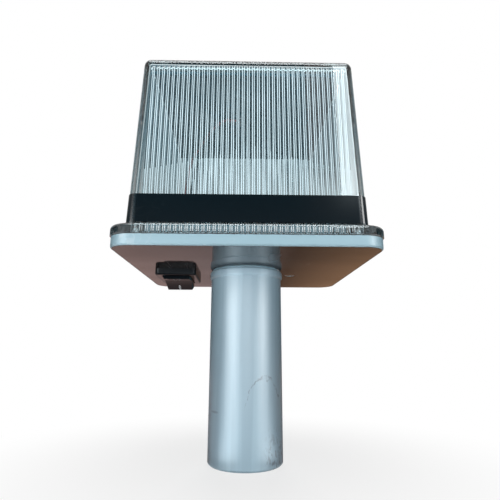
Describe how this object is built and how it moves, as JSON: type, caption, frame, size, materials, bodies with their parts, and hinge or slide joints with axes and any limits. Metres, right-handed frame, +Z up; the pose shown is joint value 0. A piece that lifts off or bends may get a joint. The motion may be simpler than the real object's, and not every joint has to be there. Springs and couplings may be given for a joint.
{
  "type": "post-top solar lamp",
  "caption": "Square solar lamp head with a clear ribbed tapered cover on a shallow grey tray, a rocker switch underneath and a stub of pipe that slips over a post.",
  "frame": {"origin": "middle of the pipe's lower end, on the surface that the lamp stands on", "axes": "+Z up along the pipe, -Y towards the front of the lamp, +X to its right seen from the front"},
  "size_m": [0.0846, 0.0846, 0.1366],
  "materials": {
    "clear_plastic": "clear moulded plastic, polished outside, ribbed inside",
    "black_vinyl": "glossy black self-adhesive film",
    "seal_rubber": "soft dark grey sealing strip",
    "grey_moulding": "pale blue-grey moulded plastic, satin rim and glossy underside",
    "grey_pipe": "pale blue-grey extruded plastic pipe with handling marks",
    "panel_board": "dark laminate board",
    "silicon": "dark blue silicon strips",
    "clear_resin": "clear casting resin",
    "foam_pad": "white double-sided foam",
    "cell_can": null,
    "nickel_strip": "bright nickel strip",
    "circuit_board": "green solder mask",
    "chip_black": "moulded black chip package",
    "ferrite": "dark ferrite",
    "capacitor_can": "dark sleeve on a can",
    "connector_nylon": "natural nylon",
    "screw_steel": "bright plated steel",
    "white_moulding": "white moulded plastic",
    "white_board": "white solder mask",
    "led_phosphor": "yellow phosphor gel in a white frame",
    "switch_black": "glossy black moulded plastic",
    "spring_steel": "bright spring wire",
    "contact_brass": "brass",
    "lead_red": "red insulated wire",
    "lead_black": "black insulated wire",
    "lead_yellow": "yellow insulated wire"
  },
  "bodies": {
    "lamp": {"clear_cover": "clear_plastic", "label_band": "black_vinyl", "cover_seal": "seal_rubber", "base_tray": "grey_moulding", "mount_pipe": "grey_pipe", "panel_backing": "panel_board", "solar_cells": "silicon", "panel_resin": "clear_resin", "panel_pads": "foam_pad", "battery_cell": "cell_can", "cell_tabs": "nickel_strip", "control_board": "circuit_board", "charge_chip": "chip_black", "charge_coil": "ferrite", "board_capacitor": "capacitor_can", "lead_connectors": "connector_nylon", "board_spacers": "connector_nylon", "board_screws": "screw_steel", "board_nuts": "screw_steel", "led_post": "white_moulding", "led_boards": "white_board", "led_chips": "led_phosphor", "switch_housing": "switch_black", "switch_terminals": "contact_brass", "panel_lead_red": "lead_red", "panel_lead_black": "lead_black", "cell_lead_red": "lead_red", "cell_lead_black": "lead_black", "switch_lead_feed": "lead_red", "switch_lead_return": "lead_yellow", "led_lead_red": "lead_red", "led_lead_black": "lead_black"},
    "rocker": {"switch_rocker": "switch_black", "switch_spring": "spring_steel", "switch_plunger": "contact_brass"},
    "blade": {"switch_blade": "contact_brass"}
  },
  "joints": [
    {"name": "rocker_tilt", "type": "hinge", "parent": "lamp", "child": "rocker", "pos_m": [-0.0266, 0.004, 0.0694], "axis": [1, 0, 0], "range_deg": [0, 24]},
    {"name": "blade_tilt", "type": "hinge", "parent": "lamp", "child": "blade", "pos_m": [-0.0266, 0.004, 0.0778], "axis": [1, 0, 0], "range_deg": [-14, 0]}
  ],
  "couplings": [
    {"joint": "blade_tilt", "follows": "rocker_tilt", "ratio": -0.58333}
  ]
}
